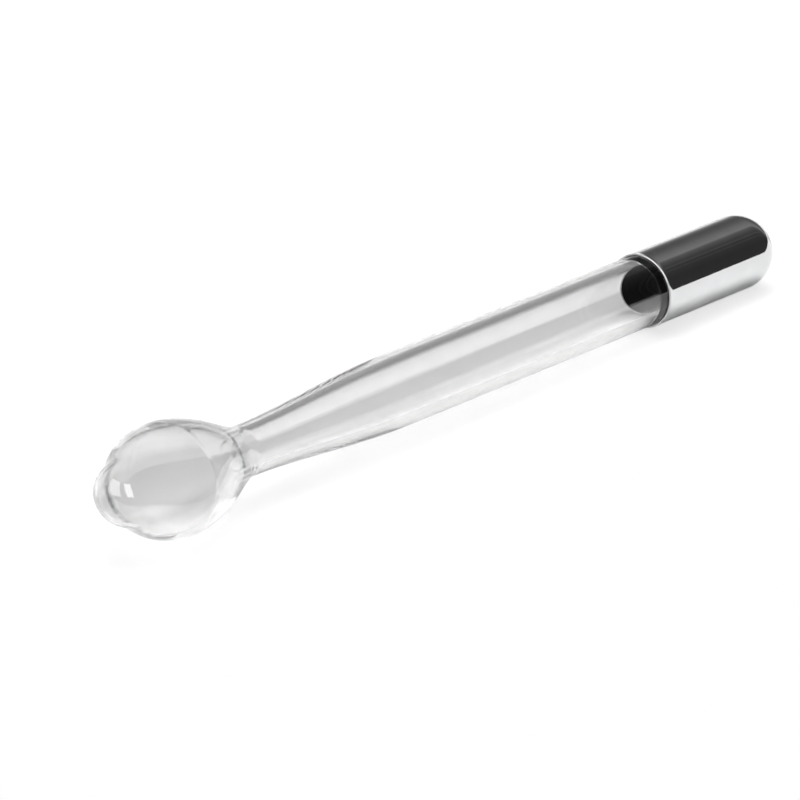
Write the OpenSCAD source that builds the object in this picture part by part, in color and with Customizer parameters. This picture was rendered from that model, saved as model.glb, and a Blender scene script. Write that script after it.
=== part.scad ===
// Glass high-frequency electrode: a blown head with a round nipple, on a stem that ends in a metal plug cap.
// The axis lies along X. The cap's straight wall starts at x = 0 and runs to +X, and the head is at -X.

/* [Cap] */
// Outside diameter of the cap, which is the plug that enters the handle
cap_d = 11.1; // [9:0.1:14]
// Length of the cap's straight wall, from the lip to the start of the round end
cap_len = 22.6; // [20:0.1:32]
// Thickness of the drawn metal
cap_wall = 0.2; // [0.15:0.05:0.4]
// How far the rolled lip stands out of the cap's wall
lip_proud = 0.05; // [0.05:0.05:0.3]
// Room between the glass and the inside of the cap
cap_gap = 0.05; // [0.03:0.01:0.2]

/* [Stem] */
// Wall of the straight stem
stem_wall = 1.7; // [0.9:0.1:2]
// Length of the straight stem in front of the cap
stem_len = 59.5; // [30:0.5:90]
// Length of the straight stem inside the cap, up to the sealed round end
stem_in_cap = 12.5; // [9:0.1:14]

/* [Neck] */
// Length over which the stem tapers to the neck
taper_len = 27.5; // [15:0.5:40]
// Outside diameter of the neck
neck_d = 7.4; // [6:0.1:8.4]
// Wall of the neck
neck_wall = 1.2; // [0.8:0.1:1.6]

/* [Head] */
// Greatest diameter of the head
head_d = 16.6; // [13:0.1:24]
// Distance from the end of the taper to the widest place of the head
neck_to_head = 17; // [16:0.1:24]
// Half length of the head towards the neck, from its widest place
head_back = 15.7; // [10:0.1:16]
// Half length of the head towards the tip, from its widest place
head_front = 9.6; // [7:0.1:14]
// Wall of the blown head
head_wall = 0.9; // [0.5:0.1:1.6]
// Softness of the corner between the neck and the head
neck_blend = 2; // [0.4:0.1:2.4]
// Fullness of the head towards the neck: 2 is an ellipse, and less is more conical
head_back_full = 1.5; // [1.3:0.1:2.4]
// Fullness of the head towards the tip: 2 is an ellipse, and more is squarer
head_front_full = 2.35; // [1.6:0.05:2.6]

/* [Nipple] */
// Diameter of the round nipple at the tip
nipple_d = 9.4; // [6:0.1:11]
// Straight length between the head and the nipple's round end
nipple_rise = 0.6; // [0.2:0.1:2]
// Wall of the nipple
nipple_wall = 0.8; // [0.5:0.1:1.6]

/* [Inside the cap] */
// Diameter of the sealing bead where it fills the hole in the glass
bead_d = 2; // [1.6:0.1:2.6]
// How far the bead's straight part stands out of the glass on each side
bead_proud = 0.2; // [0.1:0.1:0.6]
// Diameter of the lead-in wire
wire_d = 0.8; // [0.5:0.1:1]
// Outside diameter of the inner electrode cup
cup_d = 3.6; // [2.4:0.1:4.4]
// Length of the inner electrode cup
cup_len = 3; // [2:0.1:4]
// Wall of the inner electrode cup
cup_wall = 0.3; // [0.2:0.05:0.6]
// Free length of wire between the bead and the cup
cup_lead = 1.4; // [0.6:0.1:3]
// Depth of glass that the cement covers, measured from the glass's sealed end
cement_grip = 3.4; // [2:0.1:4]
// Thickness of cement behind the bead
cement_back = 0.4; // [0.2:0.1:1]
// Free length of wire between the cement and the solder
wire_free = 1; // [0.4:0.1:1.6]
// Diameter of the solder collar
solder_d = 2; // [1.4:0.1:2.6]
// Length of the solder collar
solder_len = 1; // [0.6:0.1:1.6]
// Diameter of the spring's wire
spring_wire_d = 0.4; // [0.3:0.05:0.5]
// Room between the spring and what it bears on
spring_seat = 0.05; // [0.03:0.01:0.1]
// Middle diameter of the spring's wide end
spring_wide_d = 5.8; // [4.6:0.1:6.4]
// Turns of the spring
spring_turns = 4; // [3:1:5]

/* [Hidden] */

$fn = 96;
cut_past = 1;

// Points along each round stretch and each curve of the glass outline
arc_steps = 14;
taper_steps = 12;
head_steps = 22;

cap_r = cap_d / 2;
bore_r = cap_r - cap_wall;
lip_t = cap_wall + lip_proud;
stem_r = bore_r - cap_gap;
neck_r = neck_d / 2;
head_r = head_d / 2;
nipple_r = nipple_d / 2;
bead_r = bead_d / 2;
wire_r = wire_d / 2;

// Stations along the axis, from the cap towards the tip
seal_x = stem_in_cap;
seal_end_x = seal_x + stem_r;
seal_in_x = seal_end_x - stem_wall;
taper_x = -stem_len;
neck_x = taper_x - taper_len;
head_x = neck_x - neck_to_head;

// Stations along the axis, from the sealed end towards the round end of the cap
bead_in_x = seal_in_x - bead_proud - bead_r;
bead_out_x = seal_end_x + bead_proud + bead_r;
cup_x = bead_in_x - cup_lead;
cement_front_x = seal_end_x - cement_grip;
cement_end_x = bead_out_x + cement_back;
solder_x = cement_end_x + wire_free;
wire_end_x = solder_x + solder_len;

// Turns a shape that stands along Z so that it lies along X
module along_x(x) translate([x, 0, 0]) rotate([0, 90, 0]) children();

module rod(r, from_x, to_x) along_x(from_x) cylinder(r = r, h = to_x - from_x);

// Smooth 0 to 1 with level ends, mixed half and half with a straight ramp
function eased(t) = 0.5 * t + 0.5 * t * t * (3 - 2 * t);

// The larger of two radii, with the corner between them rounded over the blend
function softmax(a, b, blend) =
    let (h = max(0, min(1, 0.5 + (a - b) / (2 * blend)))) b + (a - b) * h + blend * h * (1 - h);

// Radius of an egg of radius r and half length half, at a distance d from its widest place
function egg_r(r, half, full, d) = r * pow(max(0, 1 - pow(abs(d) / half, full)), 1 / full);

// Distance from the widest place of the head's front to where it is narrowed to a share of its radius
function front_at(half, share) = half * pow(1 - pow(share, head_front_full), 1 / head_front_full);

// Radius of the glass between the stem and the head's widest place, inset by the wall there
function stem_in(t, wall) = stem_r - wall[0] + (neck_r - wall[1] - stem_r + wall[0]) * eased(t);

function back_r(x, wall) =
    let (egg = egg_r(head_r - wall[2], head_back - wall[2], head_back_full, x - head_x))
    softmax(egg, neck_r - wall[1], neck_blend);

// Half outline of the glass as [radius, x], from the bead's hole in the sealed end to the nipple's pole.
// It is inset by the walls, which are given in the order stem, neck, head, nipple.
function outline(wall) =
    let (
        sr = stem_r - wall[0],
        hr = head_r - wall[2],
        front = head_front - wall[2],
        nr = nipple_r - wall[3],
        hole_a = asin(bead_r / sr),
        root = front_at(front, nr / hr),
        nipple_x = head_x - front_at(head_front, nipple_r / head_r) - nipple_rise
    )
    concat(
        [for (i = [0 : arc_steps]) let (a = hole_a + (90 - hole_a) * i / arc_steps)
            [sr * sin(a), seal_x + sr * cos(a)]],
        [for (i = [0 : taper_steps]) let (t = i / taper_steps) [stem_in(t, wall), taper_x - taper_len * t]],
        [for (i = [1 : head_steps]) let (x = neck_x - neck_to_head * i / head_steps) [back_r(x, wall), x]],
        [for (i = [1 : arc_steps]) let (d = root * sin(90 * i / arc_steps))
            [egg_r(hr, front, head_front_full, d), head_x - d]],
        [for (i = [0 : arc_steps]) let (a = 90 * i / arc_steps) [nr * cos(a), nipple_x - nr * sin(a)]]
    );

module glass_envelope() {
    outside = outline([0, 0, 0, 0]);
    inside = outline([stem_wall, neck_wall, head_wall, nipple_wall]);
    color([0.86, 0.88, 0.88, 0.4])
        along_x(0)
        rotate_extrude()
        polygon(concat(outside, [for (i = [len(inside) - 1 : -1 : 0]) inside[i]]));
}

// Solid shape of the bead, before the wire goes through it
module bead_blank() {
    rod(bead_r, bead_in_x + bead_r, bead_out_x - bead_r);
    for (x = [bead_in_x + bead_r, bead_out_x - bead_r])
        along_x(x) sphere(r = bead_r);
}

module sealing_bead() {
    color([0.55, 0.62, 0.66])
        difference() {
            bead_blank();
            rod(wire_r, bead_in_x - cut_past, bead_out_x + cut_past);
        }
}

module lead_in_wire() {
    color([0.62, 0.6, 0.56]) rod(wire_r, cup_x, wire_end_x);
}

module inner_electrode() {
    color([0.66, 0.66, 0.67])
        difference() {
            rod(cup_d / 2, cup_x - cup_len, cup_x);
            rod(cup_d / 2 - cup_wall, cup_x - cup_len - cut_past, cup_x - cup_wall);
        }
}

module cement_plug() {
    color([0.2, 0.18, 0.16])
        difference() {
            rod(bore_r, cement_front_x, cement_end_x);
            along_x(seal_x) sphere(r = stem_r);
            bead_blank();
            rod(wire_r, seal_x, cement_end_x + cut_past);
        }
}

module solder_collar() {
    color([0.7, 0.71, 0.73])
        difference() {
            rod(solder_d / 2, solder_x, wire_end_x);
            rod(wire_r, solder_x - cut_past, wire_end_x + cut_past);
        }
}

// Middle line of the spring: a cone of turns from the solder out to the inside of the cap's round end
spring_r = spring_wire_d / 2;
spring_from_r = solder_d / 2 + spring_seat + spring_r;
spring_to_r = spring_wide_d / 2;
spring_from_x = solder_x + spring_r;
dome_seat_r = bore_r - spring_r - spring_seat;
spring_to_x = cap_len + sqrt(dome_seat_r * dome_seat_r - spring_to_r * spring_to_r);
rings_per_turn = 8;
spring_sides = 6;
spring_rings = spring_turns * rings_per_turn;

function spring_at(t) =
    let (r = spring_from_r + (spring_to_r - spring_from_r) * t, a = 360 * spring_turns * t)
    [spring_from_x + (spring_to_x - spring_from_x) * t, r * cos(a), r * sin(a)];

function spring_ring(i) =
    let (
        t = i / spring_rings,
        middle = spring_at(t),
        a = 360 * spring_turns * t,
        outward = [0, cos(a), sin(a)],
        step = 0.01,
        ahead = spring_at(t + step) - spring_at(t - step),
        forward = ahead / norm(ahead),
        side = cross(forward, outward) / norm(cross(forward, outward)),
        up = cross(side, forward)
    )
    [for (k = [0 : spring_sides - 1])
        middle + spring_r * (cos(360 * k / spring_sides) * up + sin(360 * k / spring_sides) * side)];

// Least room between one turn of the spring and the next, measured on its own points
spring_clear = min([for (i = [0 : spring_rings - rings_per_turn])
    norm(spring_at((i + rings_per_turn) / spring_rings) - spring_at(i / spring_rings))]) - spring_wire_d;
echo(spring_least_gap = spring_clear);

module contact_spring() {
    last = spring_rings * spring_sides;
    sides = [for (i = [0 : spring_rings - 1], k = [0 : spring_sides - 1])
        let (a = i * spring_sides + k, b = i * spring_sides + (k + 1) % spring_sides)
        each [[a, b, a + spring_sides], [b, b + spring_sides, a + spring_sides]]];
    ends = [for (k = [1 : spring_sides - 2]) each [[0, k + 1, k], [last, last + k, last + k + 1]]];
    color([0.72, 0.58, 0.34])
        polyhedron([for (i = [0 : spring_rings]) each spring_ring(i)], concat(sides, ends));
}

module lip() {
    along_x(0)
        rotate_extrude() {
            translate([bore_r + lip_t / 2, -lip_t / 2]) circle(d = lip_t);
            translate([bore_r, -lip_t / 2]) square([lip_t, lip_t / 2]);
        }
}

module metal_cap() {
    color([0.78, 0.79, 0.8]) {
        difference() {
            union() {
                rod(cap_r, 0, cap_len);
                along_x(cap_len) sphere(r = cap_r);
            }
            rod(bore_r, -cut_past, cap_len);
            along_x(cap_len) sphere(r = bore_r);
        }
        lip();
    }
}

glass_envelope();
sealing_bead();
lead_in_wire();
inner_electrode();
cement_plug();
solder_collar();
contact_spring();
metal_cap();
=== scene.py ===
# %% [markdown]
# # A blown glass high-frequency electrode
#
# The object is the loose glass electrode of an old high-frequency set: an egg-shaped blown head with a
# round nipple at its tip, a neck that widens into a straight stem, and a polished metal cap that plugs into
# the handle. A wire, a cup, a bead of sealing glass, cement, solder and a spring are hidden in the cap.
#
# Every part of it is round about one axis, so nearly every surface here is a profile turned about that
# axis. The axis is X. The cap's straight wall starts at x = 0 and runs to +X, and the head is at -X.
# Lengths are in metres.

import bpy
import numpy as np
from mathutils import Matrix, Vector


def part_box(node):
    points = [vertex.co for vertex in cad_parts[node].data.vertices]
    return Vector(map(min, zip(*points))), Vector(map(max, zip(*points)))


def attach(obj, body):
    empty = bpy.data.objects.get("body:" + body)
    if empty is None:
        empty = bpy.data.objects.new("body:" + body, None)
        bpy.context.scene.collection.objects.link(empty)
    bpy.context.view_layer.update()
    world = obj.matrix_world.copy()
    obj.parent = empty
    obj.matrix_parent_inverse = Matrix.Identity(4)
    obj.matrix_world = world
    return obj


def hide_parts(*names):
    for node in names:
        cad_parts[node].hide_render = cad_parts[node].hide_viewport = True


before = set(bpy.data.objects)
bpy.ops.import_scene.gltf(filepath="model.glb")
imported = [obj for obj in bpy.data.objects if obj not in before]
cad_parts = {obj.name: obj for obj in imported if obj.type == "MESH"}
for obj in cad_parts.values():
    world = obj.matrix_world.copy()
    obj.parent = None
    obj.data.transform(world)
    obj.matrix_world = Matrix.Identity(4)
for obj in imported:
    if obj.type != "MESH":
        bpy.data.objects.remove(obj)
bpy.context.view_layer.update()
print("parts in the frame:", ", ".join(sorted(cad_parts)))


def box_span(node):
    """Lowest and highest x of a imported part, and its greatest radius."""
    low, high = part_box(node)
    return low.x, high.x, high.z


# %% [markdown]
# ## The camera
#
# The picture was taken from in front, on the head's side and a little above, with a long lens, so that the
# stem's two edges are nearly parallel. A camera could be placed by eye, but here its direction, its
# distance and its focal length were found from the outline of the stem, the head and the cap's mouth, and
# are written as plain numbers. The camera is set down from three axes: one to the right, one up and one
# back from the picture.

# %% Camera
camera_azimuth = np.radians(-50.58)
camera_elevation = np.radians(19.51)
camera_distance = 1.159
camera_lens_mm = 358.7
# how far the picture's middle lies to the left of the cap's mouth, and below it
middle_left = 0.03504
middle_below = 0.01589

camera_right = np.array([np.cos(camera_azimuth), np.sin(camera_azimuth), 0.0])
level_to_camera = np.array([np.sin(camera_azimuth), -np.cos(camera_azimuth)])
camera_back = np.array([*(level_to_camera * np.cos(camera_elevation)), np.sin(camera_elevation)])
camera_up = np.cross(camera_back, camera_right)
camera_place = camera_distance * camera_back - middle_left * camera_right - middle_below * camera_up
camera_matrix = np.eye(4)
camera_matrix[:3, :3] = np.stack([camera_right, camera_up, camera_back], axis=1)
camera_matrix[:3, 3] = camera_place

camera_data = bpy.data.cameras.new("photo_camera")
camera_data.lens = camera_lens_mm
camera = bpy.data.objects.new("photo_camera", camera_data)
camera.matrix_world = camera_matrix.T.tolist()
bpy.context.scene.collection.objects.link(camera)
bpy.context.scene.camera = camera
print("camera at", np.round(camera_place, 3))

# %% [markdown]
# ## Turning a profile
#
# A lathe or a glass blower's bench turns a profile about an axis. Blender has a Screw modifier and a Spin
# tool for this, but both leave poles open or doubled and need cleaning. Written out, the surface is one
# formula of two parameters: the place along the profile and the angle around the axis. The profile is a
# closed walk round the solid's section, towards -X on the outside and back towards +X on the inside, so
# that every face points out of the solid.

# %% Turned points and faces
def turned_points(profile, around, offset=None, swell=None):
    """The profile's point (x, r) at the angle a goes to (x, r cos a, r sin a).

    offset(x) moves each ring off the axis by a (y, z) pair, and swell(x, a) multiplies its radius.
    """
    angle = np.arange(around) * 2 * np.pi / around
    x = np.repeat(profile[:, :1], around, axis=1)
    r = np.repeat(profile[:, 1:], around, axis=1)
    if swell is not None:
        r = r * swell(x, angle[None, :])
    y, z = r * np.cos(angle), r * np.sin(angle)
    if offset is not None:
        shift_y, shift_z = offset(x)
        y, z = y + shift_y, z + shift_z
    return np.stack([x, y, z], axis=-1)


def turned_faces(pole, around):
    """Join each ring of the grid to the next, and the last to the first.

    A ring on the axis is one pole point. Two rings give a strip of four-sided faces, a ring and a pole give
    a fan of triangles, and two poles give none.
    """
    start = np.concatenate([[0], np.cumsum(np.where(pole, 1, around))[:-1]])
    here = start[:, None] + np.where(pole[:, None], 0, np.arange(around)[None, :])
    after = np.roll(here, -1, axis=0)
    here_next, after_next = np.roll(here, -1, axis=1), np.roll(after, -1, axis=1)
    pole_after = np.roll(pole, -1)
    strip = ~pole & ~pole_after
    fan_out = pole & ~pole_after
    fan_in = ~pole & pole_after
    quads = np.stack([here, after, after_next, here_next], axis=-1)[strip].reshape(-1, 4)
    fans_out = np.stack([here, after, after_next], axis=-1)[fan_out].reshape(-1, 3)
    fans_in = np.stack([here, after, here_next], axis=-1)[fan_in].reshape(-1, 3)
    return quads.tolist() + fans_out.tolist() + fans_in.tolist()


# %% Pieces from points and faces
on_axis = 1e-9


def smooth_piece(name, points, faces):
    """A mesh object at the origin, with its place in its points and smooth faces."""
    mesh = bpy.data.meshes.new(name)
    mesh.from_pydata(points.tolist(), [], faces)
    mesh.polygons.foreach_set("use_smooth", np.ones(len(faces), bool))
    mesh.update()
    piece = bpy.data.objects.new(name, mesh)
    bpy.context.scene.collection.objects.link(piece)
    print(f"{name}: {len(points)} points, {len(faces)} faces")
    return piece


def turned_piece(name, profile, around=128, offset=None, swell=None):
    """The solid whose section is the closed profile, turned about the X axis."""
    pole = profile[:, 1] < on_axis
    grid = turned_points(profile, around, offset, swell)
    keep = np.ones(grid.shape[:2], bool)
    keep[pole, 1:] = False
    return smooth_piece(name, grid[keep], turned_faces(pole, around))


def piece_points(piece):
    """All points of a finished piece, as rows of (x, y, z)."""
    points = np.empty(3 * len(piece.data.vertices), np.float32)
    piece.data.vertices.foreach_get("co", points)
    return points.reshape(-1, 3).astype(float)


def arc(centre_x, centre_r, radius, start, end, steps):
    """Points (x, r) on a circle of the section, from one angle to another, in degrees from +X."""
    a = np.radians(np.linspace(start, end, steps))
    return np.stack([centre_x + radius * np.cos(a), centre_r + radius * np.sin(a)], axis=1)


# %% [markdown]
# ## The glass
#
# The electrode starts as a piece of heavy glass tube. One end is drawn down to a neck, the head is blown
# from what is left, and a last puff makes the nipple. Blown glass is thinner where it was blown later and
# wider, so the nipple is thinnest, and the hot head sags a little, so its axis bends by a hair. A thin
# sheet with a Solidify modifier would have an even wall. Here the outside is a radius function of x, and
# the inside runs square below it, at a depth that falls smoothly from the heavy stem to the thin nipple.
# Light bends at both skins, so both have to be smooth, and where they are parallel it hardly bends.

# %% Glass sizes
tip_x, seal_end_x, head_radius = box_span("glass_envelope")
bead_start, bead_end, bead_radius = box_span("sealing_bead")

stem_radius = 0.0053
stem_wall = 0.00165
seal_x = seal_end_x - stem_radius
taper_start_x = -0.0595

neck_x = -0.087
neck_radius = 0.0037
neck_wall = 0.00118
neck_blend = 0.002

head_x = -0.104
head_wall = 0.00087
head_back = 0.0157
head_back_fullness = 1.5
head_front = 0.0096
head_front_fullness = 2.35
# this far ahead of the widest place the front becomes a cone, which bends in with the square of the way
cone_from = 0.0064
cone_bend = 25.0

nipple_radius = 0.0047
nipple_wall = 0.0005
nipple_centre_x = tip_x + nipple_radius
crease = 0.0012
print("head %.1f mm across, nipple %.1f mm" % (2000 * head_radius, 2000 * nipple_radius))


# %% Glass outline, stem and taper
averaging = np.linspace(-0.003, 0.003, 13)


def averaged(curve, x):
    """The mean of a curve over a few millimetres about each x, which rounds its corners."""
    return np.mean(curve(x[:, None] + averaging), axis=1)


def eased(t):
    """From 0 to 1: half a straight ramp and half a smooth step with level ends."""
    return 0.5 * t + 0.5 * t * t * (3 - 2 * t)


def taper(x):
    """The stem's radius, easing to the neck's between the start of the taper and the neck."""
    t = np.clip((x - taper_start_x) / (neck_x - taper_start_x), 0, 1)
    return stem_radius + (neck_radius - stem_radius) * eased(t)


# %% Glass outline, head and nipple
def soft_larger(a, b, blend):
    """The larger of two radii, with the corner where they cross rounded over the blend."""
    h = np.clip(0.5 + (a - b) / (2 * blend), 0, 1)
    return b + (a - b) * h + blend * h * (1 - h)


def egg(x, half_length, fullness):
    """The head's radius at a distance x from its widest place: a circle's formula with another power."""
    return head_radius * np.clip(1 - np.abs(x / half_length) ** fullness, 0, None) ** (1 / fullness)


def head_front_radius(forward):
    """The egg's front up to cone_from, and from there a cone that goes on in its slope and bends in."""
    step = 0.0001
    last = egg(np.array([cone_from - step, cone_from]), head_front, head_front_fullness)
    ahead = forward - cone_from
    cone = last[1] + ahead * (last[1] - last[0]) / step - cone_bend * ahead ** 2
    return np.where(forward > cone_from, np.maximum(cone, 0), egg(forward, head_front, head_front_fullness))


def glass_radius(x):
    """Radius of the outside: the stem, an egg that melts into the neck behind, and a ball in front of it."""
    behind = soft_larger(egg(x - head_x, head_back, head_back_fullness), averaged(taper, x), neck_blend)
    ball = np.sqrt(np.clip(nipple_radius ** 2 - np.minimum(x - nipple_centre_x, 0) ** 2, 0, None))
    in_front = soft_larger(head_front_radius(head_x - x), ball, crease)
    # the crease ends before the nipple's pole, or it would flatten it
    past_crease = np.where(x > nipple_centre_x - nipple_radius / 2, in_front, ball)
    return np.where(x > head_x, behind, past_crease)


# %% Glass skins
stem_rings = 40
blown_rings = 301
end_rings = 24


def wall_at(x):
    """Depth of the glass: it thins slowly along the taper and faster over the head."""
    places = [nipple_centre_x, head_x, neck_x, taper_start_x]
    return np.interp(x, places, [nipple_wall, head_wall, neck_wall, stem_wall])


def square_below(line):
    """Each point of the outline moved inwards, square to the line there, by the depth of the glass."""
    along = np.gradient(line, axis=0)
    along = along / np.linalg.norm(along, axis=1, keepdims=True)
    inwards = np.stack([-along[:, 1], along[:, 0]], axis=1)
    return line + inwards * averaged(wall_at, line[:, 0])[:, None]


def sealed_end(radius):
    """Round end of the tube, from the rim of the bead's hole to the straight wall."""
    return arc(seal_x, 0, radius, np.degrees(np.arcsin(bead_radius / radius)), 90, end_rings)[:-1]


# rings crowd together towards the nipple's pole, where the outline turns fastest
stem_x = np.linspace(seal_x, taper_start_x, stem_rings)[:-1]
blown_x = taper_start_x + (tip_x - taper_start_x) * np.sin(np.linspace(0, np.pi / 2, blown_rings))
outline_x = np.concatenate([stem_x, blown_x])
outline = np.stack([outline_x, glass_radius(outline_x)], axis=1)
outline[-1, 1] = 0.0
inline = square_below(outline)
inline[-1, 1] = 0.0
outer_skin = np.concatenate([sealed_end(stem_radius), outline])
inner_skin = np.concatenate([sealed_end(stem_radius - stem_wall), inline])
print("glass runs from x = %.4f to %.4f" % (outer_skin[:, 0].min(), outer_skin[:, 0].max()))

# %% Glass piece
lean_slope = 0.062
lean_from_x = -0.1029
lean_softness = 0.006
blown_over = 0.006
oval, oval_turn = 0.0025, 0.7
three_sided, three_sided_twist = 0.0015, 400


def hot_glass_lean(x):
    """Sideways shift of the axis: none along the stem, and a straight lean upwards past lean_from_x."""
    past = lean_from_x - x
    return np.zeros_like(x), lean_slope * (np.sqrt(past ** 2 + lean_softness ** 2) + past) / 2


def out_of_round(x, angle):
    """Blown glass isn't quite round: the head swells by a few parts in a thousand, in two slow waves."""
    blown = np.clip((neck_x - x) / blown_over, 0, 1)
    waves = oval * np.cos(2 * angle + oval_turn) + three_sided * np.cos(3 * angle + three_sided_twist * x)
    return 1 + blown * waves


glass_section = np.concatenate([outer_skin, inner_skin[::-1]])
blown_glass = turned_piece("blown_glass", glass_section, offset=hot_glass_lean, swell=out_of_round)

# %% [markdown]
# ## The cap
#
# The cap is drawn from thin sheet metal, with a full round end, and its mouth is rolled to a fine bead that
# catches the light. A Subdivision cylinder would pinch at the pole and round the lip too much. The section
# is walked instead: the rolled lip as one arc, the outside of the wall, the round end and the inside. Two
# attributes on its points mark the inside, which the polishing wheel never reaches and which gets a painted
# shade of near black, and the lip, which it only brushes.

# %% Cap piece
lip_x, cap_end_x, lip_radius = box_span("metal_cap")
cap_radius = 0.00555
cap_wall = 0.0002
cap_inside_radius = cap_radius - cap_wall
cap_straight = cap_end_x - cap_radius
lip_thickness = lip_radius - cap_inside_radius
lip_half = lip_thickness / 2
lip_end_x = lip_x + lip_thickness
wall_rings = 40

wall_x = np.linspace(lip_end_x, cap_straight, wall_rings)
cap_section = np.concatenate([
    arc(lip_x + lip_half, lip_radius - lip_half, lip_half, 270, 60, 20),
    np.stack([wall_x, np.full_like(wall_x, cap_radius)], axis=1),
    arc(cap_straight, 0, cap_radius, 90, 0, 49)[1:],
    arc(cap_straight, 0, cap_inside_radius, 0, 90, 33),
    np.stack([wall_x[::-1], np.full_like(wall_x, cap_inside_radius)], axis=1),
])
cap_section[np.abs(cap_section[:, 1]) < on_axis, 1] = 0.0
plug_cap = turned_piece("plug_cap", cap_section[::-1])

# %% Marks on the cap
lip_face_share = 0.9


def mark_points(piece, name, marked):
    """A point attribute that is 1 on the marked points and 0 on the others, for the finish to read."""
    attribute = piece.data.attributes.new(name, "FLOAT", "POINT")
    attribute.data.foreach_set("value", marked.astype(np.float32))
    print(piece.name, "has", int(marked.sum()), name, "points")


cap_points = piece_points(plug_cap)
past_wall = np.maximum(cap_points[:, 0] - cap_straight, 0)
from_middle = np.sqrt(past_wall ** 2 + cap_points[:, 1] ** 2 + cap_points[:, 2] ** 2)
behind_lip = cap_points[:, 0] > lip_end_x
# the inside gets a painted shade: near black, for the shade in the hollow of the cap
mark_points(plug_cap, "painted_shade_inside", behind_lip & (from_middle < cap_radius - cap_wall / 2))
mark_points(plug_cap, "satin", cap_points[:, 0] < lip_x + lip_face_share * lip_thickness)

# %% [markdown]
# ## What is hidden in the cap
#
# First the wire, then a bead of sealing glass fused round it, its cup, the cement that holds the cap on and
# the drop of solder. Blender's own cylinders and cones would be quick, but their edges are knife sharp.
# Each piece is a turned section again, made as it would be on the bench, with the edges that heat, solder
# or a press would give it.

# %% Wire, bead and cup
wire_start, wire_end, wire_radius = box_span("lead_in_wire")
wire_edge = 0.3 * wire_radius
wire_section = np.concatenate([
    [[wire_end, 0.0]],
    arc(wire_end - wire_edge, wire_radius - wire_edge, wire_edge, 0, 90, 9),
    arc(wire_start + wire_edge, wire_radius - wire_edge, wire_edge, 90, 180, 9),
    [[wire_start, 0.0]],
])
lead_wire = turned_piece("lead_wire", wire_section, 32)

wire_in_bead = np.degrees(np.arcsin(wire_radius / bead_radius))
bead_section = np.concatenate([
    arc(bead_end - bead_radius, 0, bead_radius, wire_in_bead, 90, 16),
    arc(bead_start + bead_radius, 0, bead_radius, 90, 180 - wire_in_bead, 16),
])
fused_bead = turned_piece("fused_bead", bead_section, 48)

cup_start, cup_end, cup_radius = box_span("inner_electrode")
cup_wall = 0.0003
cup_corner = 0.0007
cup_section = np.concatenate([
    [[cup_end, 0.0]],
    arc(cup_end - cup_corner, cup_radius - cup_corner, cup_corner, 0, 90, 12),
    arc(cup_start + cup_wall / 2, cup_radius - cup_wall / 2, cup_wall / 2, 90, 270, 12),
    arc(cup_end - cup_corner, cup_radius - cup_corner, cup_corner - cup_wall, 90, 0, 12),
    [[cup_end - cup_wall, 0.0]],
])
pressed_cup = turned_piece("pressed_cup", cup_section, 64)

# %% Cement and solder
cement_start, cement_end, cement_radius = box_span("cement_plug")
cement_edge = 0.0004
cement_lip = 0.0001
skin = 0.00002
glass_reach = np.degrees(np.arccos((cement_start - seal_x) / stem_radius))
bead_reach = np.degrees(np.arcsin(bead_radius / stem_radius))
bead_shoulder = 75
cement_section = np.concatenate([
    arc(cement_end - cement_edge, cement_radius - cement_edge, cement_edge, 0, 90, 8),
    arc(cement_start + cement_lip, cement_radius - cement_lip, cement_lip, 90, 180, 5),
    arc(seal_x, 0, stem_radius + skin, glass_reach, bead_reach, 20),
    arc(bead_end - bead_radius, 0, bead_radius + skin, bead_shoulder, wire_in_bead, 8),
    [[cement_end, wire_radius]],
])
cement_ring = turned_piece("cement_ring", cement_section, 96)

solder_start, solder_end, solder_radius = box_span("solder_collar")
drop_lean, drop_fullness = 0.8, 0.7
drop = np.linspace(0, 1, 24)
drop_x = solder_end - (solder_end - solder_start) * drop
drop_r = wire_radius + (solder_radius - wire_radius) * np.sin(np.pi * drop ** drop_lean) ** drop_fullness
solder_drop = turned_piece("solder_drop", np.stack([drop_x, drop_r], axis=1), 48)

# %% [markdown]
# ## The spring
#
# A coned spring carries the current from the solder to the cap. It could be a curve with a round bevel, but
# a curve's bevel twists on a tight coil. A circle carried along a helix of growing radius is one formula:
# at each place on the helix the circle lies across the path, in the plane of the path's outward direction
# and the one square to both.

# %% Spring piece
spring_start, spring_end, spring_outer = box_span("contact_spring")
spring_wire = 0.0002
spring_turns = 4
spring_narrow = 0.00125
spring_steps = 48
spring_sides = 14


def swept_coil(turn, side):
    """A circle of the wire's radius carried along a coned helix.

    The helix at turn t has x and radius growing evenly with t. The circle's point at the angle s is the
    helix point, plus the wire's radius times the outward direction times cos s, plus its radius times the
    direction square to that and to the path times sin s.
    """
    share = turn / spring_turns
    x = spring_start + spring_wire + (spring_end - spring_start - 2 * spring_wire) * share
    r = spring_narrow + (spring_outer - spring_wire - spring_narrow) * share
    angle = 2 * np.pi * turn
    helix = np.stack([x, r * np.cos(angle), r * np.sin(angle)], axis=-1)
    along = np.gradient(helix, axis=0)
    along = along / np.linalg.norm(along, axis=1, keepdims=True)
    outward = np.stack([np.zeros_like(angle), np.cos(angle), np.sin(angle)], axis=-1)
    outward = outward - along * np.sum(outward * along, axis=1, keepdims=True)
    outward = outward / np.linalg.norm(outward, axis=1, keepdims=True)
    across = np.cross(along, outward)
    circle = outward[:, None] * np.cos(side)[None, :, None] + across[:, None] * np.sin(side)[None, :, None]
    return helix[:, None] + spring_wire * circle


coil_turn = np.linspace(0, spring_turns, spring_turns * spring_steps + 1)
coil = swept_coil(coil_turn, np.arange(spring_sides) * 2 * np.pi / spring_sides)
ring = np.arange(len(coil_turn) * spring_sides).reshape(-1, spring_sides)
ring_next = np.roll(ring, -1, axis=1)
coil_faces = np.stack([ring[:-1], ring_next[:-1], ring_next[1:], ring[1:]], axis=-1).reshape(-1, 4).tolist()
coil_ends = [ring[0][::-1].tolist(), ring[-1].tolist()]
coned_spring = smooth_piece("coned_spring", coil.reshape(-1, 3), coil_faces + coil_ends)

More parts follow.
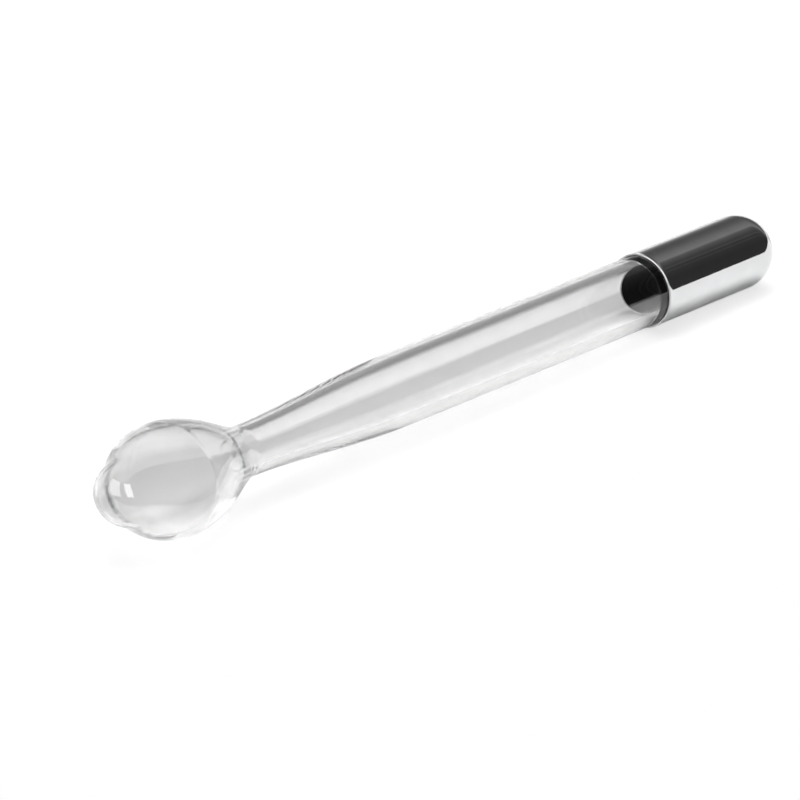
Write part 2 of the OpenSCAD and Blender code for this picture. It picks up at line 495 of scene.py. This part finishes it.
# %% [markdown]
# ## Finishes
#
# Every finish is one Principled shader with a few procedural textures on Object coordinates, so it stays
# put on the piece from any side. Pictures would need a UV map on each piece. Numbers that are the same all
# over are set on the shader's own sockets. The helpers below add one node each to a material, or later to
# the world, and return its output.

# %% Node helpers
def new_finish(name, **sockets):
    """A material with one Principled shader. Sockets are set by name, with underscores for spaces."""
    material = bpy.data.materials.new(name)
    material.use_nodes = True
    shader = material.node_tree.nodes["Principled BSDF"]
    for socket, value in sockets.items():
        shader.inputs[socket.replace("_", " ")].default_value = value
    print("finish", name)
    return material, shader


def feed(owner, value, node, socket):
    """Links an output, or sets a plain value, on one of a node's inputs."""
    if isinstance(value, (int, float, tuple)):
        node.inputs[socket].default_value = value
    else:
        owner.node_tree.links.new(value, node.inputs[socket])


def ramp(owner, value, *stops):
    """A colour ramp over a 0 to 1 value. Each stop is (place, grey or colour)."""
    node = owner.node_tree.nodes.new("ShaderNodeValToRGB")
    elements = node.color_ramp.elements
    while len(elements) < len(stops):
        elements.new(0.5)
    for element, (place, colour) in zip(elements, stops):
        element.position = place
        element.color = (*((colour,) * 3 if isinstance(colour, float) else colour), 1.0)
    feed(owner, value, node, "Fac")
    return node.outputs["Color"]


def mixed(owner, factor, first, second):
    """A mix of two colours, the first at a factor of 0 and the second at 1."""
    node = owner.node_tree.nodes.new("ShaderNodeMix")
    node.data_type = "RGBA"
    feed(owner, factor, node, "Factor")
    feed(owner, first, node, "A")
    feed(owner, second, node, "B")
    return node.outputs["Result"]


# %% Surface helpers
def noise(material, scale, stretch=(1, 1, 1), detail=4.0, distortion=0.0):
    """A noise texture on Object coordinates, stretched by a Mapping node. Returns its 0 to 1 output."""
    nodes = material.node_tree.nodes
    place = nodes.new("ShaderNodeTexCoord")
    mapping = nodes.new("ShaderNodeMapping")
    mapping.inputs["Scale"].default_value = stretch
    texture = nodes.new("ShaderNodeTexNoise")
    texture.inputs["Scale"].default_value = scale
    texture.inputs["Detail"].default_value = detail
    texture.inputs["Distortion"].default_value = distortion
    feed(material, place.outputs["Object"], mapping, "Vector")
    feed(material, mapping.outputs["Vector"], texture, "Vector")
    return texture.outputs["Fac"]


def point_mark(material, name):
    """The value of a point attribute of the piece."""
    node = material.node_tree.nodes.new("ShaderNodeAttribute")
    node.attribute_name = name
    return node.outputs["Fac"]


def vary(material, shader, socket, pattern, low, high, span=(0.3, 0.7)):
    """Lets a socket go from one level or colour to another where a pattern goes through the span."""
    feed(material, ramp(material, pattern, (span[0], low), (span[1], high)), shader, socket)


def bumped(material, shader, height, strength, distance):
    """Feeds a height into the shader's normal through a Bump node, with its distance in metres."""
    node = material.node_tree.nodes.new("ShaderNodeBump")
    node.inputs["Strength"].default_value = strength
    node.inputs["Distance"].default_value = distance
    feed(material, height, node, "Height")
    feed(material, node.outputs["Normal"], shader, "Normal")


# %% [markdown]
# ## Clear glass and sealing glass
#
# Old blown glass is clear, with faint cloudy swirls, and here it bends light a little more than window
# glass does. A mix of glass and transparent shaders would be quicker to render but wouldn't bend anything,
# so full transmission with a high index of refraction is used. The bead is a denser, blue-grey glass that
# takes to the wire.

# %% Glass finishes
clear_glass, shader = new_finish("clear_glass", Transmission_Weight=1.0, IOR=1.6, Roughness=0.0)
swirls = noise(clear_glass, 180, detail=3, distortion=1.5)
vary(clear_glass, shader, "Base Color", swirls, 0.98, 1.0, span=(0.35, 0.65))

sealing_glass, shader = new_finish("sealing_glass", Transmission_Weight=0.8, IOR=1.52, Roughness=0.05)
vary(sealing_glass, shader, "Base Color", noise(sealing_glass, 2500), (0.25, 0.32, 0.36), (0.42, 0.5, 0.55))

# %% [markdown]
# ## Polished cap
#
# The outside of the cap is polished plate, its inside is painted near black as shade for the hollow, and the
# face of its lip is only brushed. Three materials on one mesh would do, but the record has one slot for the
# cap, so one finish reads the two marks on the points and changes its colour and its metal there.

# %% Cap finish
polished_cap, shader = new_finish("polished_cap", Metallic=1.0)
plate_cloud = noise(polished_cap, 300)
plate = ramp(polished_cap, plate_cloud, (0.3, (0.66, 0.665, 0.67)), (0.7, (0.71, 0.715, 0.72)))
# painted shade for the inside of the cap: near black, with a faint grain
inside_shade_grain = noise(polished_cap, 1200)
painted_inside_shade = ramp(polished_cap, inside_shade_grain, (0.3, (0.015, 0.014, 0.013)), (0.7, (0.04, 0.038, 0.035)))
cap_colour = mixed(polished_cap, point_mark(polished_cap, "painted_shade_inside"), plate, painted_inside_shade)
feed(polished_cap, cap_colour, shader, "Base Color")
vary(polished_cap, shader, "Roughness", noise(polished_cap, 900, detail=6), 0.03, 0.07, span=(0.35, 0.75))
vary(polished_cap, shader, "Metallic", point_mark(polished_cap, "satin"), 1.0, 0.35, span=(0.0, 1.0))

# %% [markdown]
# ## Hidden metals and cement
#
# The wire is drawn, so its grain is stretched along the axis. The cup is rolled sheet, the solder is dull
# and lumpy, the spring is bronze, and the cement is dark and dry. Flat colours would do for pieces that
# hardly show, but the cup and the cement are seen darkly through the glass, so each gets a grain of its
# own.

# %% Metal and cement finishes
nickel_wire, shader = new_finish("nickel_wire", Metallic=1.0)
drawn_grain = noise(nickel_wire, 3000, stretch=(0.1, 1, 1))
vary(nickel_wire, shader, "Base Color", drawn_grain, (0.46, 0.44, 0.4), (0.62, 0.6, 0.56))
vary(nickel_wire, shader, "Roughness", noise(nickel_wire, 5000), 0.25, 0.45)

nickel_sheet, shader = new_finish("nickel_sheet", Metallic=1.0)
rolled_grain = noise(nickel_sheet, 1500, stretch=(1, 0.2, 0.2))
vary(nickel_sheet, shader, "Base Color", rolled_grain, (0.1, 0.1, 0.1), (0.2, 0.2, 0.195))
vary(nickel_sheet, shader, "Roughness", noise(nickel_sheet, 4000), 0.25, 0.4)

solder, shader = new_finish("solder", Metallic=1.0)
solder_grain = noise(solder, 4000, detail=6)
vary(solder, shader, "Base Color", solder_grain, (0.5, 0.51, 0.53), (0.68, 0.69, 0.71))
vary(solder, shader, "Roughness", solder_grain, 0.3, 0.55)
bumped(solder, shader, solder_grain, 0.4, 0.00005)

spring_bronze, shader = new_finish("spring_bronze", Metallic=1.0)
vary(spring_bronze, shader, "Base Color", noise(spring_bronze, 2500), (0.5, 0.34, 0.15), (0.72, 0.53, 0.28))
vary(spring_bronze, shader, "Roughness", noise(spring_bronze, 6000), 0.2, 0.4)

basing_cement, shader = new_finish("basing_cement")
cement_grain = noise(basing_cement, 3500, detail=8)
vary(basing_cement, shader, "Base Color", cement_grain, (0.02, 0.019, 0.017), (0.06, 0.056, 0.05))
vary(basing_cement, shader, "Roughness", cement_grain, 0.8, 0.95)
bumped(basing_cement, shader, cement_grain, 0.6, 0.0001)

# %% Dress the pieces
dressing = [
    (blown_glass, "glass_envelope", "clear_glass", clear_glass),
    (fused_bead, "sealing_bead", "sealing_glass", sealing_glass),
    (lead_wire, "lead_in_wire", "nickel_wire", nickel_wire),
    (pressed_cup, "inner_electrode", "nickel_sheet", nickel_sheet),
    (cement_ring, "cement_plug", "basing_cement", basing_cement),
    (solder_drop, "solder_collar", "solder", solder),
    (coned_spring, "contact_spring", "spring_bronze", spring_bronze),
    (plug_cap, "metal_cap", "polished_cap", polished_cap),
]
for piece, node, slot, material in dressing:
    piece.data.materials.append(material)
    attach(piece, "root")
    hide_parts(node)
print("dressed", len(dressing), "pieces")

# %% [markdown]
# ## The table
#
# The electrode lies on a pale table, near its front edge: it rests on the underside of the head and on the
# edge of the cap's round end, so the table is tilted by a little more than a degree against the axis. A
# level table would leave the cap in the air. One four-sided face is enough, since nothing of its own shape
# is seen.

# %% Table
table_slope = (head_radius - cap_radius) / (cap_straight - head_x)
resting = np.concatenate([piece_points(blown_glass), cap_points])
touch = np.min(resting[:, 2] - table_slope * resting[:, 0])
# the front edge passes in front of the head and runs away from the stem towards the right
edge_turn = np.radians(-13)
edge_gap = 0.0209
table_left, table_right, table_depth = -0.5, 0.7, 0.7

along_edge = np.array([np.cos(edge_turn), np.sin(edge_turn)])
in_from_edge = np.array([-along_edge[1], along_edge[0]])
edge_start = np.array([head_x, 0.0]) - edge_gap * in_from_edge
corner_along = np.array([table_left, table_right, table_right, table_left])[:, None]
corner_in = np.array([0.0, 0.0, table_depth, table_depth])[:, None]
table_xy = edge_start + corner_along * along_edge + corner_in * in_from_edge
table_points = np.column_stack([table_xy, touch + table_slope * table_xy[:, 0]])
table = smooth_piece("table", table_points, [[0, 1, 2, 3]])

# %% [markdown]
# ## The table's painted shadow
#
# Clear glass shows what is under it, so the shade painted on the table matters more than any lamp. Light and
# shade are painted into the table's colour: pale in front of the electrode, a painted shadow in a strip just
# behind it and pale again further off. A picture could be laid on the table, but a ramp over the distance
# behind the axis is sharper and can be moved. Under the head the painted shadow is wider, and its front edge
# follows a curve. Both change along the camera's line of sight, so that they stay upright in the picture.
# The camera itself sees a nearly white table with the shadow on it.

# %% Math helpers
def math_node(owner, operation, *values):
    """A Math node over outputs or plain numbers."""
    node = owner.node_tree.nodes.new("ShaderNodeMath")
    node.operation = operation
    for socket, value in enumerate(values):
        feed(owner, value, node, socket)
    return node.outputs["Value"]


def between(owner, value, start, end, low=0.0, high=1.0, steps="LINEAR"):
    """A value that goes from low to high while another goes from start to end, and stays level outside."""
    node = owner.node_tree.nodes.new("ShaderNodeMapRange")
    node.interpolation_type = steps
    feed(owner, value, node, "Value")
    for socket, limit in (("From Min", start), ("From Max", end), ("To Min", low), ("To Max", high)):
        feed(owner, limit, node, socket)
    return node.outputs["Result"]


def level_curve(owner, value, stops, low=0.0, high=1.0):
    """Straight lines between stops of (value, level). All levels lie between low and high."""
    start, end = stops[0][0], stops[-1][0]
    share = between(owner, value, start, end)
    shares = [((at - start) / (end - start), (level - low) / (high - low)) for at, level in stops]
    return between(owner, ramp(owner, share, *shares), 0.0, 1.0, low, high)


# %% Table's painted shadow
# painted light and shade of the table against the distance behind the axis
painted_shade_stops = [
    (-0.005, 0.88), (-0.002, 0.95), (0.001, 0.9), (0.004, 0.76),
    (0.007, 0.56), (0.0144, 0.54), (0.0168, 0.73), (0.022, 0.78)]
shadow_core_from_y = 0.007
# how much nearer the painted shadow starts under the head, against the place along the axis
shadow_nearer_stops = [
    (-0.108, -0.003), (-0.104, -0.0005), (-0.1, 0.002), (-0.097, 0.003),
    (-0.0935, 0.005), (-0.0885, 0.002), (-0.085, 0.0)]
shadow_nearer_low, shadow_nearer_high = -0.003, 0.005
wide_until_x, narrow_from_x = -0.098, -0.084
wide_squeeze = 0.38

table_finish = bpy.data.materials.new("table_finish")
table_finish.use_nodes = True
table_finish.node_tree.nodes.clear()
table_nodes = table_finish.node_tree.nodes
table_place = table_nodes.new("ShaderNodeTexCoord")
table_axes = table_nodes.new("ShaderNodeSeparateXYZ")
feed(table_finish, table_place.outputs["Object"], table_axes, "Vector")
table_x, table_y = table_axes.outputs["X"], table_axes.outputs["Y"]

sight_slope = float(-camera_back[0] / camera_back[1])
in_line = math_node(table_finish, "MULTIPLY_ADD", table_y, sight_slope, table_x)
shadow_nearer = level_curve(table_finish, in_line, shadow_nearer_stops, shadow_nearer_low, shadow_nearer_high)
squeeze = between(table_finish, in_line, wide_until_x, narrow_from_x, wide_squeeze, 1.0, "SMOOTHSTEP")
front_part = math_node(table_finish, "MINIMUM", math_node(table_finish, "ADD", table_y, shadow_nearer), shadow_core_from_y)
near_part = math_node(table_finish, "MINIMUM", table_y, shadow_core_from_y)
far_part = math_node(table_finish, "SUBTRACT", table_y, near_part)
behind_axis = math_node(table_finish, "MULTIPLY_ADD", far_part, squeeze, front_part)
# the painted light and shadow of the table, for every ray but the camera's
painted_shade = level_curve(table_finish, behind_axis, painted_shade_stops)
print("table tone from", painted_shade_stops[0][1], "to", painted_shade_stops[-1][1])

# %% Table finish
white = (1.0, 1.0, 1.0, 1.0)
table_lift = 0.7

table_ray = table_nodes.new("ShaderNodeLightPath").outputs["Is Camera Ray"]
lit = table_nodes.new("ShaderNodeBsdfDiffuse")
# the camera sees plain white colour here, every other ray sees the painted shadow
feed(table_finish, mixed(table_finish, table_ray, painted_shade, white), lit, "Color")
glowing = table_nodes.new("ShaderNodeEmission")
surface = table_nodes.new("ShaderNodeMixShader")
feed(table_finish, math_node(table_finish, "MULTIPLY", table_ray, table_lift), surface, "Fac")
feed(table_finish, lit.outputs["BSDF"], surface, 1)
feed(table_finish, glowing.outputs["Emission"], surface, 2)
table_output = table_nodes.new("ShaderNodeOutputMaterial")
feed(table_finish, surface.outputs["Shader"], table_output, "Surface")
table.data.materials.append(table_finish)
print("table finish with", len(table_nodes), "nodes")

# %% [markdown]
# ## The room
#
# Polished metal and the edges of clear glass show the room. A photographer hangs dark and light cards round
# such a piece, and a panorama picture could stand in for them. The cap and the stem are round about the
# axis and mirror the room as stripes along it, so here the room is a list of grey levels against the angle
# about that axis: dim in front, lighter overhead and nearly white low behind. The polish and the glass each
# get a list of their own.

# %% Room
world = bpy.data.worlds.new("studio")
bpy.context.scene.world = world
world.use_nodes = True
world.cycles.sampling_method = "NONE"
world_nodes = world.node_tree.nodes
world_nodes.clear()

direction = world_nodes.new("ShaderNodeTexCoord").outputs["Generated"]
axes = world_nodes.new("ShaderNodeSeparateXYZ")
feed(world, direction, axes, "Vector")
to_x, to_y, to_z = axes.outputs["X"], axes.outputs["Y"], axes.outputs["Z"]
# the angle about the axis: 0 is level in front, a quarter turn is overhead and half a turn is behind
turn = math_node(world, "ARCTAN2", to_z, math_node(world, "MULTIPLY", to_y, -1.0))
turn_share = math_node(world, "ADD", math_node(world, "DIVIDE", turn, 2 * np.pi), 0.5)


def room_round_axis(*stops):
    """Grey levels of the room against the angle about the axis, in degrees."""
    return ramp(world, turn_share, *[(degrees / 360 + 0.5, level) for degrees, level in stops])


room_in_polish = room_round_axis(
    (-180, 0.8), (-165, 0.8), (-155, 0.04), (-10, 0.038), (29, 0.033), (50, 0.044), (51.5, 0.075),
    (53, 0.047), (61.5, 0.053), (63, 0.11), (64.5, 0.058), (72, 0.07), (85, 0.117), (92, 0.235), (107, 0.19),
    (124, 0.126), (139, 0.1), (150, 0.12), (158, 0.18), (166, 0.36), (172, 0.65), (180, 0.85))
room_in_glass = room_round_axis(
    (-180, 0.8), (-165, 0.8), (-155, 0.04), (-10, 0.04), (60, 0.05), (110, 0.1), (126, 0.14), (134, 0.3),
    (166, 0.3), (169, 0.45), (172, 0.75), (176, 0.82), (180, 0.85))
print("room of", len(world_nodes), "nodes so far")

# %% [markdown]
# ## The window
#
# The nipple faces forward more than the rest of the glass, and it mirrors a tall window with two panes on
# that side. An emitting plane would have to be hidden from the camera and would light the table too. A
# patch of the world, between two heights and between slanting sides, shows only where it is asked for.

# %% Window
sill_height, top_height = np.sin(np.radians(3)), np.sin(np.radians(51))
window_in_glass = 0.08
# each side of a pane: its angle from -X at the horizon, and how far it slants up to the zenith, in degrees
panes = [
    {"right": (-63, 11), "left": (-42, 22), "level": 6.0},
    {"right": (-21, 22), "left": (28, 22), "level": 4.0},
]
beside = math_node(world, "ARCTAN2", to_y, math_node(world, "MULTIPLY", to_x, -1.0))
above_sill = math_node(world, "GREATER_THAN", to_z, float(sill_height))
below_top = math_node(world, "LESS_THAN", to_z, float(top_height))


def pane_side(angle, slant):
    """The angle of a pane's slanting side at the height of the ray."""
    return math_node(world, "MULTIPLY_ADD", to_z, float(np.radians(slant)), float(np.radians(angle)))


def pane_light(pane):
    """The pane's level between its two sides, and nothing outside them."""
    past_right = math_node(world, "GREATER_THAN", beside, pane_side(*pane["right"]))
    before_left = math_node(world, "LESS_THAN", beside, pane_side(*pane["left"]))
    return math_node(world, "MULTIPLY", pane["level"], math_node(world, "MULTIPLY", past_right, before_left))


both_panes = math_node(world, "ADD", pane_light(panes[0]), pane_light(panes[1]))
window = math_node(world, "MULTIPLY", math_node(world, "MULTIPLY", above_sill, below_top), both_panes)
print("window with", len(panes), "panes")

# %% [markdown]
# ## Daylight
#
# The table is lit by an even sky with a broad glow overhead, a little behind the electrode, which leaves a
# soft shadow under it. A sun or an area lamp would show as a hard spot in the cap and the glass. The Light
# Path node then says what each ray sees: a mirrored one the room and the window, one that came through the
# glass its own room and a faint window, the camera plain white, and the light that falls on the table the
# sky.

# %% Sky and glow
glow_elevation = np.radians(97)
glow_strength = 7.8
glow_focus = 12.0
sky_level = 0.15

facing = world_nodes.new("ShaderNodeVectorMath")
facing.operation = "DOT_PRODUCT"
facing.inputs[1].default_value = [*(level_to_camera * np.cos(glow_elevation)), np.sin(glow_elevation)]
feed(world, direction, facing, 0)
lobe = math_node(world, "MAXIMUM", facing.outputs["Value"], 0.0)
glow = math_node(world, "MULTIPLY", math_node(world, "POWER", lobe, glow_focus), glow_strength)
daylight = math_node(world, "ADD", glow, sky_level)
print("glow of", glow_strength, "over a sky of", sky_level)

# %% What each ray sees
ray = world_nodes.new("ShaderNodeLightPath").outputs
mirrored = math_node(world, "MULTIPLY", ray["Is Glossy Ray"], ray["Is Reflection Ray"])
before_table = math_node(world, "LESS_THAN", ray["Diffuse Depth"], 0.5)
looked_through = math_node(world, "MULTIPLY", ray["Is Transmission Ray"], before_table)
sees_room = math_node(world, "MAXIMUM", mirrored, looked_through)

seen_in_polish = math_node(world, "ADD", room_in_polish, window)
# a full window would wash out the dark edges of the glass
faint_window = math_node(world, "MULTIPLY", window, window_in_glass)
seen_in_glass = math_node(world, "ADD", room_in_glass, faint_window)
room = mixed(world, looked_through, seen_in_polish, seen_in_glass)
sky = mixed(world, ray["Is Camera Ray"], daylight, white)

background = world_nodes.new("ShaderNodeBackground")
feed(world, mixed(world, sees_room, sky, room), background, "Color")
world_output = world_nodes.new("ShaderNodeOutputWorld")
feed(world, background.outputs["Background"], world_output, "Surface")
print("world of", len(world_nodes), "nodes")

# %% [markdown]
# ## Light that bends many times
#
# A ray that enters thick glass at a flat angle runs along inside the wall and is mirrored many times before
# it leaves. With few bounces such rays end black, and the edges of the glass turn into dark lines. So the
# limits are set high, which costs little, because few rays need them.

# %% Bounces
most_bounces = 200
scene = bpy.context.scene
scene.view_settings.view_transform = "Standard"
scene.cycles.max_bounces = most_bounces
scene.cycles.transmission_bounces = most_bounces
scene.cycles.glossy_bounces = most_bounces
# no blurring of glass for light that comes off the table, or the glass throws a shadow like frosted glass
scene.cycles.blur_glossy = 0.0
print("light may bounce", most_bounces, "times")
